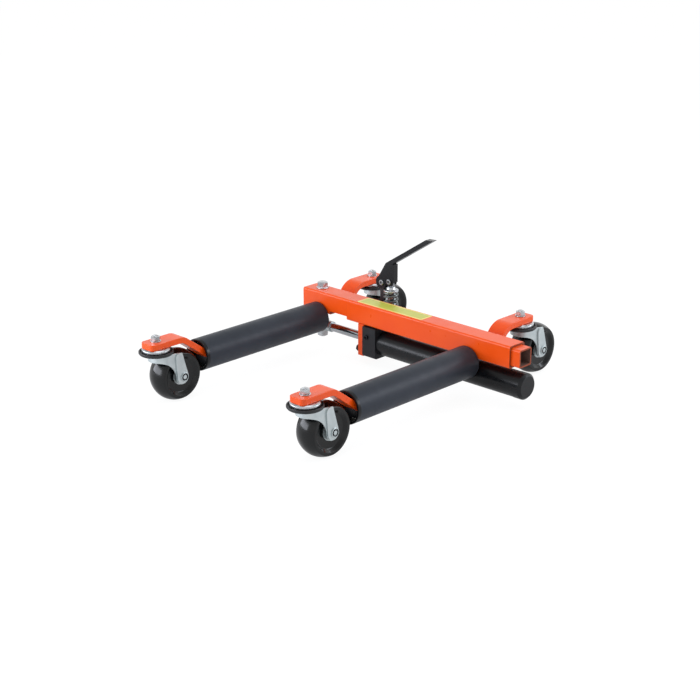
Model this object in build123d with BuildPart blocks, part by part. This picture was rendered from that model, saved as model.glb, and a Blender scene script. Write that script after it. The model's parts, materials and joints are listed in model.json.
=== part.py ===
# Vehicle positioning jack: two roller arms on swivel casters, drawn together by a foot-pumped ram.
# Millimetres. +Z is up and the floor is z = 0. +X runs along the beam from the sliding arm to the fixed arm,
# and the roller arms reach towards -Y. The origin is on the floor under the beam, midway between the arms.
import os
from math import acos, atan2, ceil, cos, degrees, pi, radians, sin, sqrt, tan

from build123d import *

os.makedirs("parts", exist_ok=True)

# Stance: where the arms and the king bolts of the casters stand
arm_spacing = 408.0
front_reach = 465.0
rear_reach = 143.0

# Clearances that the pieces share
seat_gap = 0.05
running_gap = 0.05
swivel_gap = 0.3
bolt_gap = 0.1

# Wheels: domed tread with dished sides
wheel_diameter = 104.0
wheel_width = 46.0
tread_crown = 6.5
rim_rounding = 5.0
rim_depth = 6.0
side_dish = 6.0
axle_radius = 6.0
wheel_bush_wall = 3.0
bush_flange_radius = 18.0
bush_flange_thickness = 1.2
bush_end_gap = 0.4
wheel_side_gap = 0.8

# Casters: pressed fork, dust ring, upper race, king bolt
caster_trail = 44.0
fork_sheet = 2.6
fork_bow_offset = 12.0
fork_crown_gap = 2.4
fork_crown_length = 22.0
fork_leg_length = 43.0
fork_leg_drop = 3.0
fork_skirt_depth = 15.0
fork_skirt_flat = 7.0
fork_arch_bulge = 9.0
fork_lobe_radius = 15.0
fork_lobe_shift = 3.0
leg_pad_height = 2.6
leg_pad_rim = 1.5
leg_pad_top_radius = 9.0
leg_pad_top_trail = 33.5
leg_pad_top_drop = 10.5
dust_ring_radius = 34.0
dust_ring_floor = 3.0
dust_ring_lip = 3.5
dust_ring_wall = 3.0
race_radius = 28.0
race_thickness = 9.6
king_radius = 5.0
king_head_height = 6.0
king_washer_radius = 10.5
king_washer_height = 2.0
king_nut_height = 8.5
king_thread_end = 2.5
king_flats = 17.0
axle_head_radius = 9.0
axle_head_height = 2.5
axle_nut_flats = 18.0
axle_nut_height = 5.0
axle_thread_end = 1.0

# Telescopic beam: square tubes
beam_size = 45.0
beam_wall = 4.0
beam_corner = 4.0
bore_corner = 1.0
beam_bottom = 85.0
beam_left_reach = 82.0
beam_right_reach = 104.0
slide_clearance = 0.5
inner_wall = 3.0
inner_corner = 4.0
inner_overhang = 21.0
head_left_reach = 46.0
head_floor_reach = 32.0
head_notch = 8.0
head_gap = 0.15

# Roller arms
roller_height = 75.0
roller_radius = 32.5
roller_wall = 4.0
roller_wheel_gap = 6.0
roller_end_gap = 2.0
roller_edge = 1.5
core_radius = 20.0
core_wall = 6.0
core_plug = 10.0
core_recess = 17.0
collar_radius = 24.0
collar_length = 6.0
roller_bush_length = 20.0
root_width = 32.0
root_depth = 12.5
root_relief = 7.0
root_half_height = 22.0

# Caster brackets: bent flat bar
bracket_width = 38.0
bracket_thickness = 12.0
bracket_tip = 24.0
bracket_tip_rounding = 9.0
front_bend_offset = 54.0
front_bend_radius = 22.0
rear_weld_rise = 10.0
rear_flat_start = 44.0
rear_upper_radius = 38.0
rear_lower_radius = 22.0

# Ram: cylinder, rod, piston and its anchor
ram_height = 48.5
cylinder_radius = 26.0
cylinder_wall = 4.5
cylinder_end = 109.0
cylinder_roller_gap = 1.0
cap_radius = 26.5
cap_length = 22.0
cap_chamfer = 5.0
cap_spigot = 10.0
rod_radius = 9.0
rod_spigot_radius = 6.0
rod_spigot_length = 12.0
piston_length = 20.0
piston_end_room = 42.0
piston_gap = 0.3
seal_width = 4.0
seal_depth = 3.2
seal_spacing = 8.0
gland_radius = 15.0
gland_length = 16.0
eye_radius = 14.0
eye_height = 24.0
eye_stub_radius = 11.5
eye_stub_reach = 29.0
anchor_offset = 13.0
anchor_radius = 7.0
anchor_flats = 21.0
anchor_washer_radius = 13.0
anchor_washer_height = 2.5
anchor_head_height = 10.5
anchor_nut_height = 12.0
anchor_thread_end = 2.0
spacer_wall = 3.5

# Pump: plate under the beam, block, barrel, plunger, spring, release screw
pump_plate_left = 115.0
pump_plate_thickness = 15.0
pump_plate_bottom = 17.0
pump_plate_hole_gap = 1.0
block_length = 36.0
block_front = 26.0
block_bottom = 18.0
block_top_gap = 2.0
block_corner = 6.0
riser_gap = 2.5
riser_depth = 36.0
riser_rise = 13.0
riser_left = 11.0
pump_bolt_radius = 4.0
pump_bolt_flats = 13.0
pump_bolt_head = 6.0
pump_bolt_bite = 14.0
pump_bolt_spacing_y = 32.0
pump_bolt_spacing_z = 42.0
barrel_radius = 13.0
barrel_seat_height = 6.0
barrel_depth = 38.0
barrel_floor = 6.0
plunger_radius = 7.0
plunger_inset = 17.0
plunger_dip = 10.0
spring_mean_radius = 13.2
wire_radius = 2.3
spring_height = 44.0
spring_turns = 2.75
spring_bend_radius = 5.0
cap_flange_radius = 15.5
cap_flange_height = 3.5
cap_neck_radius = 8.2
cap_total_height = 10.0
release_radius = 3.5
release_length = 10.0
release_flats = 9.0
release_head = 3.5
release_side = 6.0
release_drop = 21.0

# Pedal: forked bracket with a lever, its pivot on a lug of the pump block
pivot_offset = 20.5
pivot_drop = 5.0
pin_lift = 11.0
pivot_radius = 5.0
pivot_lobe = 14.0
pivot_lobe_shift = 2.5
pin_radius = 4.0
pin_lobe = 10.0
pin_slot_play = 1.0
pin_head_radius = 6.0
pin_head_height = 2.5
tongue_thickness = 6.0
tongue_width = 15.0
tongue_top = 8.0
cheek_thickness = 3.5
cheek_gap = 0.3
slot_height = 22.0
slot_nose = 9.0
slot_step = 1.0
lug_radius = 8.0
lug_width = 11.0
lug_gap = 1.5
pedal_height = 44.0
pedal_nose = 12.0
lever_angle = 32.7
lever_depth = 9.5
lever_length = 128.0
lever_end_angle = 3.2

# Places and levels worked out from those sizes
wheel_radius = wheel_diameter / 2
fork_inner = wheel_width / 2 + wheel_side_gap
fork_outer = fork_inner + fork_sheet
leg_face = fork_outer + leg_pad_height
# The crown ends ahead of the wheel's top, and clears the tread at its back edge
crown_back = caster_trail - fork_crown_length
crown_bottom = wheel_radius + sqrt(wheel_radius**2 - crown_back**2) + fork_crown_gap
crown_top = crown_bottom + fork_sheet
ring_floor_top = crown_top + dust_ring_floor
race_bottom = ring_floor_top + swivel_gap
bracket_bottom = race_bottom + race_thickness
bracket_middle = bracket_bottom + bracket_thickness / 2
bracket_top = bracket_bottom + bracket_thickness

beam_half = beam_size / 2
beam_middle = beam_bottom + beam_half
beam_top = beam_bottom + beam_size
inner_size = beam_size - 2 * beam_wall - 2 * slide_clearance

left_arm = -arm_spacing / 2
right_arm = arm_spacing / 2
beam_left = left_arm + beam_left_reach
beam_right = right_arm + beam_right_reach
head_left = left_arm - head_left_reach
head_right = beam_left - head_gap
head_floor_end = left_arm + head_floor_reach
inner_right = beam_right + inner_overhang

root_front = beam_half + root_depth
roller_back = beam_half + roller_end_gap
roller_front = front_reach - caster_trail - wheel_radius - roller_wheel_gap
roller_bore = roller_radius - roller_wall
bush_bore = core_radius + running_gap
# The sloping part of a front bracket meets the roller's axis at the core's front end
front_bend = front_reach - front_bend_offset
core_front = roller_front - core_recess
front_slope = atan2(bracket_middle - roller_height, front_bend - core_front)

# The ram lies behind the beam's middle by as much as its cylinder needs to clear the right roller
ram_y = cylinder_radius + cylinder_roller_gap - roller_back
anchor_x = left_arm - anchor_offset
eye_bottom = ram_height - eye_height / 2
eye_top = ram_height + eye_height / 2
cylinder_bore = cylinder_radius - cylinder_wall

plate_left = left_arm + pump_plate_left
plate_right = plate_left + pump_plate_thickness
block_right = plate_right + block_length
block_top = beam_bottom - block_top_gap
riser_front = beam_half + riser_gap
riser_back = riser_front + riser_depth
riser_top = beam_bottom + riser_rise
cylinder_right = right_arm + cylinder_end
piston_right = cylinder_right - cap_spigot - piston_end_room
piston_left = piston_right - piston_length

plunger_x = (plate_right + block_right) / 2
plunger_y = riser_front + plunger_inset
spring_seat = riser_top + barrel_seat_height
cap_seat = spring_seat + spring_height
cap_top = cap_seat + cap_total_height
pin_z = cap_top + pin_lift
pivot_x = plunger_x - pivot_offset
pivot_z = pin_z - pivot_drop
clevis_half = tongue_thickness / 2 + cheek_gap
pedal_half = clevis_half + cheek_thickness

arms = {"left": left_arm, "right": right_arm}
king_rows = {"front": -front_reach, "rear": rear_reach}


def save(builder, label):
    builder.part.label = label
    export_step(builder.part, f"parts/{label}.step")


def square_tube(size, wall, corner):
    """Sketch a square tube's section, with its inner corners rounded to suit the wall."""
    RectangleRounded(size, size, corner)
    RectangleRounded(size - 2 * wall, size - 2 * wall, bore_corner, mode=Mode.SUBTRACT)


def beam_plane(x):
    """The plane across the beam at x, with its origin on the beam's axis."""
    return Plane(origin=(x, 0, beam_middle), x_dir=(0, 1, 0), z_dir=(1, 0, 0))


def ram_plane(x):
    """The plane across the ram at x, with its origin on the ram's axis."""
    return Plane(origin=(x, ram_y, ram_height), x_dir=(0, 1, 0), z_dir=(1, 0, 0))


def arm_plane(x, back):
    """The plane across a roller arm at y = -back, facing its front end, centred on the roller's axis."""
    return Plane(origin=(x, -back, roller_height), x_dir=(1, 0, 0), z_dir=(0, -1, 0))


def level_plane(x, y, z):
    """A level plane at a height, centred on an upright axis."""
    return Plane(origin=(x, y, z), x_dir=(1, 0, 0), z_dir=(0, 0, 1))


def hexagon(flats):
    RegularPolygon(flats / 2, 6, major_radius=False)


# Outer beam, fixed to the right arm
with BuildPart() as outer_beam:
    with BuildSketch(beam_plane(beam_left)):
        square_tube(beam_size, beam_wall, beam_corner)
    extrude(amount=beam_right - beam_left)
save(outer_beam, "outer_beam")

# Inner beam, sliding in the outer one, drilled for the anchor bolt
with BuildPart() as inner_beam:
    with BuildSketch(beam_plane(head_left)):
        square_tube(inner_size, inner_wall, inner_corner)
    extrude(amount=inner_right - head_left)
    with BuildSketch(level_plane(anchor_x, ram_y, beam_bottom)):
        Circle(anchor_radius + bolt_gap)
    extrude(amount=beam_size, mode=Mode.SUBTRACT)
save(inner_beam, "inner_beam")

# Head: a sleeve of the outer beam's size, welded round the inner beam, its floor cut back on the right
with BuildPart() as slide_head:
    with BuildSketch(beam_plane(head_left)):
        RectangleRounded(beam_size, beam_size, beam_corner)
        Rectangle(inner_size, inner_size, mode=Mode.SUBTRACT)
    extrude(amount=head_right - head_left)
    with BuildSketch(level_plane((head_floor_end + head_right) / 2, 0, beam_bottom)):
        Rectangle(head_right - head_floor_end, beam_size)
    extrude(amount=head_notch, mode=Mode.SUBTRACT)
    with BuildSketch(level_plane(anchor_x, ram_y, beam_bottom)):
        Circle(anchor_radius + bolt_gap)
    extrude(amount=beam_size, mode=Mode.SUBTRACT)
save(slide_head, "slide_head")


def make_arm(side, x):
    """Root block inside the roller's back end, core, roller and bushes of one arm."""
    root_top = roller_height + root_half_height
    root_bottom = roller_height - root_half_height
    with BuildPart() as root:
        with BuildSketch(Plane.YZ.offset(x)):
            with BuildLine():
                Polyline(
                    (-beam_half, root_top),
                    (-beam_half, beam_bottom),
                    (-beam_half - root_relief, beam_bottom - root_relief),
                    (-beam_half - root_relief, root_bottom),
                    (-root_front, root_bottom),
                    (-root_front, root_top),
                    close=True,
                )
            make_face()
        extrude(amount=root_width / 2, both=True)
    save(root, f"{side}_arm_root")

    with BuildPart() as core:
        with BuildSketch(arm_plane(x, root_front)):
            Circle(core_radius)
        extrude(amount=core_front - root_front)
        with BuildSketch(arm_plane(x, core_front - collar_length)):
            Circle(collar_radius)
        extrude(amount=collar_length)
        with BuildSketch(arm_plane(x, root_front)):
            Circle(core_radius - core_wall)
        extrude(amount=core_front - root_front - core_plug, mode=Mode.SUBTRACT)
    save(core, f"{side}_arm_core")

    with BuildPart() as roller:
        with BuildSketch(arm_plane(x, roller_back)):
            Circle(roller_radius)
            Circle(roller_bore, mode=Mode.SUBTRACT)
        extrude(amount=roller_front - roller_back)
        outer_rims = roller.edges().filter_by(GeomType.CIRCLE).group_by(SortBy.RADIUS)[-1]
        fillet(outer_rims, radius=roller_edge)
    save(roller, f"{side}_roller")

    with BuildPart() as bushes:
        front_bush_end = core_front - collar_length - swivel_gap
        for back in (root_front + swivel_gap, front_bush_end - roller_bush_length):
            with BuildSketch(arm_plane(x, back)):
                Circle(roller_bore - seat_gap)
                Circle(bush_bore, mode=Mode.SUBTRACT)
            extrude(amount=roller_bush_length)
    save(bushes, f"{side}_roller_bushes")


def make_front_bracket(side, x):
    """Flat bar over the front caster, bent down into the roller's open end and butted on the core."""
    half = bracket_thickness / 2
    mitre = half * tan(front_slope / 2)
    butt_lift = half / cos(front_slope)
    tip_y = -(front_reach + bracket_tip)
    with BuildPart() as bracket:
        with BuildSketch(Plane.YZ.offset(x)):
            with BuildLine():
                FilletPolyline(
                    (tip_y, bracket_top),
                    (-front_bend + mitre, bracket_top),
                    (-core_front, roller_height + butt_lift),
                    radius=front_bend_radius + half,
                )
                Line((-core_front, roller_height + butt_lift), (-core_front, roller_height - butt_lift))
                FilletPolyline(
                    (-core_front, roller_height - butt_lift),
                    (-front_bend - mitre, bracket_bottom),
                    (tip_y, bracket_bottom),
                    radius=front_bend_radius - half,
                )
                Line((tip_y, bracket_bottom), (tip_y, bracket_top))
            make_face()
        extrude(amount=bracket_width / 2, both=True)
        tip_edges = bracket.edges().filter_by(Axis.Z).group_by(Axis.Y)[0]
        fillet(tip_edges, radius=bracket_tip_rounding)
        with BuildSketch(level_plane(x, -front_reach, bracket_bottom)):
            Circle(king_radius + bolt_gap)
        extrude(amount=bracket_thickness, mode=Mode.SUBTRACT)
    save(bracket, f"{side}_front_bracket")


def make_rear_bracket(side, x):
    """Flat bar welded to the beam's rear face, swept up in two arcs to the rear caster."""
    half = bracket_thickness / 2
    weld_middle = beam_bottom + rear_weld_rise
    rise = bracket_middle - weld_middle
    turn = degrees(acos(1 - rise / (rear_upper_radius + rear_lower_radius)))
    flat_start = rear_reach - rear_flat_start
    curve_start = flat_start - (rear_upper_radius + rear_lower_radius) * sin(radians(turn))
    tip_y = rear_reach + bracket_tip
    with BuildPart() as bracket:
        with BuildSketch(Plane.YZ.offset(x)):
            with BuildLine():
                for offset in (half, -half):
                    level = weld_middle + offset
                    Line((beam_half, level), (curve_start, level))
                    rise_arc = JernArc((curve_start, level), (1, 0), rear_lower_radius - offset, turn)
                    level_arc = JernArc(rise_arc @ 1, rise_arc % 1, rear_upper_radius + offset, -turn)
                    Line(level_arc @ 1, (tip_y, bracket_middle + offset))
                Line((beam_half, weld_middle + half), (beam_half, weld_middle - half))
                Line((tip_y, bracket_top), (tip_y, bracket_bottom))
            make_face()
        extrude(amount=bracket_width / 2, both=True)
        tip_edges = bracket.edges().filter_by(Axis.Z).group_by(Axis.Y)[-1]
        fillet(tip_edges, radius=bracket_tip_rounding)
        with BuildSketch(level_plane(x, rear_reach, bracket_bottom)):
            Circle(king_radius + bolt_gap)
        extrude(amount=bracket_thickness, mode=Mode.SUBTRACT)
    save(bracket, f"{side}_rear_bracket")


def make_king_hardware(side, x):
    """King bolts with their nuts, and the upper races, of one side's two casters."""
    with BuildPart() as bolts:
        for y in king_rows.values():
            head_top = crown_bottom - swivel_gap
            with BuildSketch(level_plane(x, y, head_top - king_head_height)):
                hexagon(king_flats)
            extrude(amount=king_head_height)
            with BuildSketch(level_plane(x, y, head_top)):
                Circle(king_radius)
            nut_bottom = bracket_top + king_washer_height
            extrude(amount=nut_bottom + king_nut_height + king_thread_end - head_top)
            with BuildSketch(level_plane(x, y, bracket_top)):
                Circle(king_washer_radius)
                Circle(king_radius + bolt_gap, mode=Mode.SUBTRACT)
            extrude(amount=king_washer_height)
            with BuildSketch(level_plane(x, y, nut_bottom)):
                hexagon(king_flats)
                Circle(king_radius + bolt_gap, mode=Mode.SUBTRACT)
            extrude(amount=king_nut_height)
    save(bolts, f"{side}_king_bolts")

    with BuildPart() as races:
        for y in king_rows.values():
            with BuildSketch(level_plane(x, y, race_bottom)):
                Circle(race_radius)
                Circle(king_radius + bolt_gap, mode=Mode.SUBTRACT)
            extrude(amount=race_thickness)
    save(races, f"{side}_upper_races")


def make_caster(corner, x, y):
    """Fork, dust ring, axle, wheel and wheel bush of one caster, trailing towards +Y."""
    axle_y = y + caster_trail
    lobe_bottom = wheel_radius - fork_lobe_radius
    lobe_y = axle_y - fork_lobe_shift
    hood_end = caster_trail + fork_lobe_radius - fork_bow_offset
    skirt_bottom = crown_top - fork_skirt_depth

    def axle_plane(along):
        return Plane(origin=(x + along, axle_y, wheel_radius), x_dir=(0, 1, 0), z_dir=(1, 0, 0))

    with BuildPart() as fork:
        # Bow-fronted hood with parallel legs, hollow below its crown and open behind
        with BuildSketch(level_plane(x, y + fork_bow_offset, lobe_bottom)):
            Circle(fork_outer)
            with Locations((0, hood_end / 2)):
                Rectangle(2 * fork_outer, hood_end)
        extrude(amount=crown_top - lobe_bottom)
        with BuildSketch(level_plane(x, y + fork_bow_offset, lobe_bottom)):
            Circle(fork_inner)
            with Locations((0, hood_end / 2)):
                Rectangle(2 * fork_inner, hood_end)
        extrude(amount=crown_bottom - lobe_bottom, mode=Mode.SUBTRACT)
        with BuildSketch(level_plane(x, y + fork_crown_length + hood_end / 2, crown_bottom)):
            Rectangle(2 * fork_inner, hood_end)
        extrude(amount=fork_sheet, mode=Mode.SUBTRACT)
        # Side outline: front skirt, arched edge, round lobe at the axle, sloping back edge
        with BuildSketch(Plane.YZ.offset(x)):
            with BuildLine():
                front_y = y + fork_bow_offset - fork_outer
                arch_start = (front_y + fork_skirt_flat, skirt_bottom)
                lobe_front = (lobe_y - fork_lobe_radius, wheel_radius)
                lobe_back = (lobe_y + fork_lobe_radius, wheel_radius)
                Polyline(
                    lobe_back,
                    (y + fork_leg_length, crown_top - fork_leg_drop),
                    (y + fork_crown_length, crown_top),
                    (front_y, crown_top),
                    (front_y, skirt_bottom),
                    arch_start,
                )
                SagittaArc(arch_start, lobe_front, fork_arch_bulge)
                ThreePointArc(lobe_front, (lobe_y, lobe_bottom), lobe_back)
            make_face()
        extrude(amount=fork_outer, both=True, mode=Mode.INTERSECT)
        with BuildSketch(level_plane(x, y, crown_bottom)):
            Circle(king_radius + running_gap)
        extrude(amount=fork_sheet, mode=Mode.SUBTRACT)
        # Raised pad on each leg, from the axle's lobe up to a round end
        pad_top = (leg_pad_top_trail - caster_trail, crown_top - leg_pad_top_drop - wheel_radius)
        for outward in (1, -1):
            with BuildSketch(axle_plane(outward * fork_outer)):
                with Locations((-fork_lobe_shift, 0)):
                    Circle(fork_lobe_radius - leg_pad_rim)
                with Locations(pad_top):
                    Circle(leg_pad_top_radius)
                make_hull()
            extrude(amount=outward * leg_pad_height)
        with BuildSketch(axle_plane(0)):
            Circle(axle_radius + bolt_gap)
        extrude(amount=leg_face, both=True, mode=Mode.SUBTRACT)
    save(fork, f"{corner}_fork")

    with BuildPart() as ring:
        with BuildSketch(level_plane(x, y, crown_top)):
            Circle(dust_ring_radius)
            Circle(king_radius + swivel_gap, mode=Mode.SUBTRACT)
        extrude(amount=dust_ring_floor)
        with BuildSketch(level_plane(x, y, ring_floor_top)):
            Circle(dust_ring_radius)
            Circle(dust_ring_radius - dust_ring_wall, mode=Mode.SUBTRACT)
        extrude(amount=dust_ring_lip)
    save(ring, f"{corner}_dust_ring")

    with BuildPart() as axle:
        tail = leg_face + axle_nut_height + axle_thread_end
        with BuildSketch(axle_plane(-tail)):
            Circle(axle_radius)
        extrude(amount=tail + leg_face)
        with BuildSketch(axle_plane(leg_face)):
            Circle(axle_head_radius)
        extrude(amount=axle_head_height)
        fillet(axle.faces().sort_by(Axis.X)[-1].edges(), radius=axle_head_height / 2)
        with BuildSketch(axle_plane(-leg_face - axle_nut_height)):
            hexagon(axle_nut_flats)
            Circle(axle_radius + bolt_gap, mode=Mode.SUBTRACT)
        extrude(amount=axle_nut_height)
    save(axle, f"{corner}_axle")

    bush_radius = axle_radius + running_gap + wheel_bush_wall
    bush_half = fork_inner - bush_end_gap
    rim_half = wheel_width / 2
    web_half = rim_half - side_dish
    with BuildPart() as wheel:
        with BuildSketch(Plane(origin=(x, axle_y, wheel_radius), x_dir=(1, 0, 0), z_dir=(0, -1, 0))):
            rim_edge = wheel_radius - tread_crown
            rim_inner = rim_edge - rim_depth
            with BuildLine():
                ThreePointArc((-rim_half, rim_edge), (0, wheel_radius), (rim_half, rim_edge))
                Polyline(
                    (rim_half, rim_edge),
                    (rim_half, rim_inner),
                    (web_half, rim_inner - side_dish),
                    (web_half, bush_radius + seat_gap),
                    (-web_half, bush_radius + seat_gap),
                    (-web_half, rim_inner - side_dish),
                    (-rim_half, rim_inner),
                    (-rim_half, rim_edge),
                )
            face = make_face()
            shoulders = face.vertices().group_by(Axis.Y)[-1]
            fillet(shoulders, radius=rim_rounding)
        revolve(axis=Axis((x, axle_y, wheel_radius), (1, 0, 0)))
    save(wheel, f"{corner}_wheel")

    with BuildPart() as bush:
        # A flange lies in each dished side, and the tube's ends run against the fork's legs
        with BuildSketch(axle_plane(-bush_half)):
            Circle(bush_radius)
        extrude(amount=2 * bush_half)
        for outward in (1, -1):
            with BuildSketch(axle_plane(outward * (web_half + seat_gap))):
                Circle(bush_flange_radius)
            extrude(amount=outward * bush_flange_thickness)
        with BuildSketch(axle_plane(-bush_half)):
            Circle(axle_radius + running_gap)
        extrude(amount=2 * bush_half, mode=Mode.SUBTRACT)
    save(bush, f"{corner}_wheel_bush")


for side, x in arms.items():
    make_arm(side, x)
    make_front_bracket(side, x)
    make_rear_bracket(side, x)
    make_king_hardware(side, x)
    for row, y in king_rows.items():
        make_caster(f"{row}_{side}", x, y)

# Ram cylinder, closed by a chamfered cap with a spigot in the bore
with BuildPart() as ram_cylinder:
    with BuildSketch(ram_plane(block_right)):
        Circle(cylinder_radius)
        Circle(cylinder_bore, mode=Mode.SUBTRACT)
    extrude(amount=cylinder_right - block_right)
save(ram_cylinder, "ram_cylinder")

with BuildPart() as cylinder_cap:
    with BuildSketch(ram_plane(cylinder_right)):
        Circle(cap_radius)
    extrude(amount=cap_length)
    chamfer(cylinder_cap.faces().sort_by(Axis.X)[-1].edges(), length=cap_chamfer)
    with BuildSketch(ram_plane(cylinder_right)):
        Circle(cylinder_bore - seat_gap)
    extrude(amount=-cap_spigot)
save(cylinder_cap, "cylinder_cap")

# Rod eye on the anchor bolt, with a stub that takes the rod's spigot
eye_stub_end = anchor_x + eye_stub_reach
with BuildPart() as rod_eye:
    with BuildSketch(level_plane(anchor_x, ram_y, eye_bottom)):
        Circle(eye_radius)
    extrude(amount=eye_height)
    with BuildSketch(ram_plane(anchor_x)):
        Circle(eye_stub_radius)
    extrude(amount=eye_stub_reach)
    with BuildSketch(level_plane(anchor_x, ram_y, eye_bottom)):
        Circle(anchor_radius + bolt_gap)
    extrude(amount=eye_height, mode=Mode.SUBTRACT)
    with BuildSketch(ram_plane(eye_stub_end)):
        Circle(rod_spigot_radius + seat_gap)
    extrude(amount=-rod_spigot_length, mode=Mode.SUBTRACT)
save(rod_eye, "rod_eye")

with BuildPart() as ram_rod:
    with BuildSketch(ram_plane(eye_stub_end)):
        Circle(rod_radius)
    extrude(amount=piston_left - eye_stub_end)
    with BuildSketch(ram_plane(eye_stub_end)):
        Circle(rod_spigot_radius)
    extrude(amount=-rod_spigot_length)
    with BuildSketch(ram_plane(piston_left)):
        Circle(rod_spigot_radius)
    extrude(amount=piston_length)
save(ram_rod, "ram_rod")

piston_middle = (piston_left + piston_right) / 2
seal_places = [piston_middle - seal_spacing / 2, piston_middle + seal_spacing / 2]
with BuildPart() as ram_piston:
    with BuildSketch(ram_plane(piston_left)):
        Circle(cylinder_bore - piston_gap)
        Circle(rod_spigot_radius + seat_gap, mode=Mode.SUBTRACT)
    extrude(amount=piston_length)
    for place in seal_places:
        with BuildSketch(ram_plane(place - seal_width / 2)):
            Circle(cylinder_bore)
            Circle(cylinder_bore - seal_depth, mode=Mode.SUBTRACT)
        extrude(amount=seal_width, mode=Mode.SUBTRACT)
save(ram_piston, "ram_piston")

with BuildPart() as piston_seals:
    for place in seal_places:
        with BuildSketch(ram_plane(place - seal_width / 2 + seat_gap)):
            Circle(cylinder_bore - running_gap)
            Circle(cylinder_bore - seal_depth + seat_gap, mode=Mode.SUBTRACT)
        extrude(amount=seal_width - 2 * seat_gap)
save(piston_seals, "piston_seals")

# Anchor bolt down through the head, the spacer and the eye, with its nut below
with BuildPart() as anchor_bolt:
    anchor_bottom = eye_bottom - anchor_nut_height - anchor_thread_end
    with BuildSketch(level_plane(anchor_x, ram_y, beam_top)):
        Circle(anchor_washer_radius)
    extrude(amount=anchor_washer_height)
    with BuildSketch(level_plane(anchor_x, ram_y, beam_top + anchor_washer_height)):
        hexagon(anchor_flats)
    extrude(amount=anchor_head_height)
    with BuildSketch(level_plane(anchor_x, ram_y, anchor_bottom)):
        Circle(anchor_radius)
    extrude(amount=beam_top - anchor_bottom)
    with BuildSketch(level_plane(anchor_x, ram_y, eye_bottom - anchor_nut_height)):
        hexagon(anchor_flats)
        Circle(anchor_radius + bolt_gap, mode=Mode.SUBTRACT)
    extrude(amount=anchor_nut_height)
save(anchor_bolt, "anchor_bolt")

with BuildPart() as anchor_spacer:
    with BuildSketch(level_plane(anchor_x, ram_y, eye_top)):
        Circle(anchor_radius + spacer_wall)
        Circle(anchor_radius + bolt_gap, mode=Mode.SUBTRACT)
    extrude(amount=beam_bottom - eye_top)
save(anchor_spacer, "anchor_spacer")

# Pump plate under the beam, drilled for the rod and the block's bolts
pump_bolt_height = (pump_plate_bottom + beam_bottom) / 2
bolt_plane = Plane(origin=(plate_left, 0, pump_bolt_height), x_dir=(0, 1, 0), z_dir=(1, 0, 0))
bolt_side = pump_bolt_spacing_y / 2
bolt_rise = pump_bolt_spacing_z / 2
bolt_places = [(-bolt_side, -bolt_rise), (bolt_side, -bolt_rise), (bolt_side, bolt_rise)]
with BuildPart() as pump_plate:
    plate_height = beam_bottom - pump_plate_bottom
    with BuildSketch(bolt_plane):
        Rectangle(beam_size, plate_height)
        with Locations(bolt_places):
            Circle(pump_bolt_radius + bolt_gap, mode=Mode.SUBTRACT)
    extrude(amount=pump_plate_thickness)
    with BuildSketch(ram_plane(plate_left)):
        Circle(rod_radius + pump_plate_hole_gap)
    extrude(amount=pump_plate_thickness, mode=Mode.SUBTRACT)
save(pump_plate, "pump_plate")

with BuildPart() as pump_bolts:
    with BuildSketch(bolt_plane):
        with Locations(bolt_places):
            hexagon(pump_bolt_flats)
    extrude(amount=-pump_bolt_head)
    with BuildSketch(bolt_plane):
        with Locations(bolt_places):
            Circle(pump_bolt_radius)
    extrude(amount=pump_plate_thickness + pump_bolt_bite)
save(pump_bolts, "pump_bolts")

# Pump block: body under the beam, riser behind it, and a lug for the pedal's pivot
release_x = plunger_x - release_side
release_z = block_top - release_drop
with BuildPart() as pump_block:
    with BuildSketch(Plane.YZ.offset(plate_right)):
        with BuildLine():
            Polyline(
                (-block_front, block_bottom),
                (-block_front, block_top),
                (riser_front, block_top),
                (riser_front, riser_top),
                (riser_back, riser_top),
                (riser_back, block_bottom),
                close=True,
            )
        make_face()
    extrude(amount=block_length)
    fillet(pump_block.edges().filter_by(Axis.X).group_by(Axis.Z)[0], radius=block_corner)
    # The riser reaches to the left behind the pump plate and carries the lug
    with BuildSketch(Plane.XY.offset(block_top)):
        with Locations(((plate_right - riser_left / 2), (riser_front + riser_back) / 2)):
            Rectangle(riser_left, riser_depth)
    extrude(amount=riser_top - block_top)
    with BuildSketch(Plane.XZ.offset(-plunger_y)):
        with BuildLine():
            lug_right = plunger_x - cap_flange_radius - lug_gap
            Polyline(
                (lug_right, riser_top),
                (lug_right, pivot_z - lug_radius),
                (pivot_x + lug_radius, pivot_z),
                (pivot_x - lug_radius, pivot_z),
                (lug_right - lug_width, riser_top),
                close=True,
            )
        make_face()
        with Locations((pivot_x, pivot_z)):
            Circle(lug_radius)
    extrude(amount=tongue_thickness / 2, both=True)
    with BuildSketch(Plane.XZ.offset(-plunger_y)):
        with Locations((pivot_x, pivot_z)):
            Circle(pivot_radius + bolt_gap)
    extrude(amount=tongue_thickness, both=True, mode=Mode.SUBTRACT)
    # Bores: gland seat, rod, pump barrel, bolts, release screw
    with BuildSketch(ram_plane(plate_right)):
        Circle(gland_radius + seat_gap)
    extrude(amount=gland_length, mode=Mode.SUBTRACT)
    with BuildSketch(ram_plane(plate_right)):
        Circle(rod_radius + piston_gap)
    extrude(amount=block_length, mode=Mode.SUBTRACT)
    with BuildSketch(level_plane(plunger_x, plunger_y, riser_top)):
        Circle(barrel_radius + seat_gap)
    extrude(amount=-barrel_depth, mode=Mode.SUBTRACT)
    with BuildSketch(bolt_plane.offset(pump_plate_thickness)):
        with Locations(bolt_places):
            Circle(pump_bolt_radius + bolt_gap)
    extrude(amount=pump_bolt_bite + bolt_gap, mode=Mode.SUBTRACT)
    with BuildSketch(Plane(origin=(release_x, -block_front, release_z), x_dir=(1, 0, 0), z_dir=(0, -1, 0))):
        Circle(release_radius + running_gap)
    extrude(amount=-release_length - swivel_gap, mode=Mode.SUBTRACT)
save(pump_block, "pump_block")

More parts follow.
